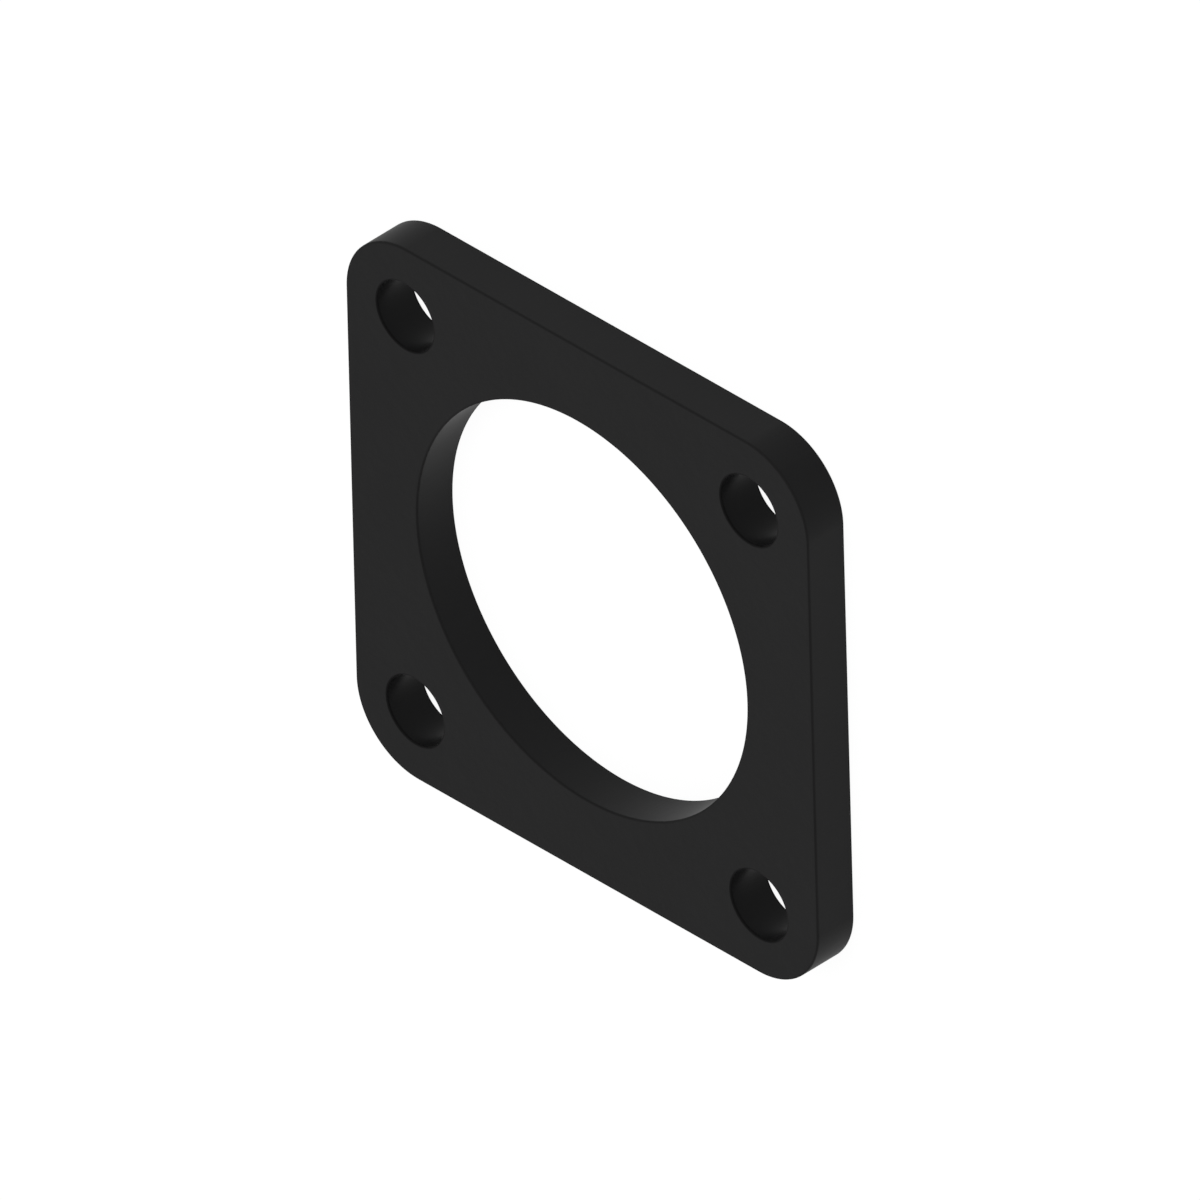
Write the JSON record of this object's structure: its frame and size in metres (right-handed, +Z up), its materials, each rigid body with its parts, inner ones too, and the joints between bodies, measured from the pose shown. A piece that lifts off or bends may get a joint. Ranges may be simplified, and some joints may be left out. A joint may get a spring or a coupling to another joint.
{
  "type": "fuel tank gasket",
  "caption": "Flat square rubber gasket with round corners, a large central bore and a bolt hole at each corner, for sealing a fitting to a fuel tank.",
  "frame": {"origin": "centre of the lower face, on the bore's axis", "axes": "+Z up through the thickness along the bore's axis; +X and +Y square to the plate's sides"},
  "size_m": [0.0604, 0.0604, 0.0048],
  "materials": {
    "black_rubber": "smooth moulded black nitrile rubber, dull sheen"
  },
  "bodies": {
    "root": {"gasket": "black_rubber"}
  },
  "joints": []
}
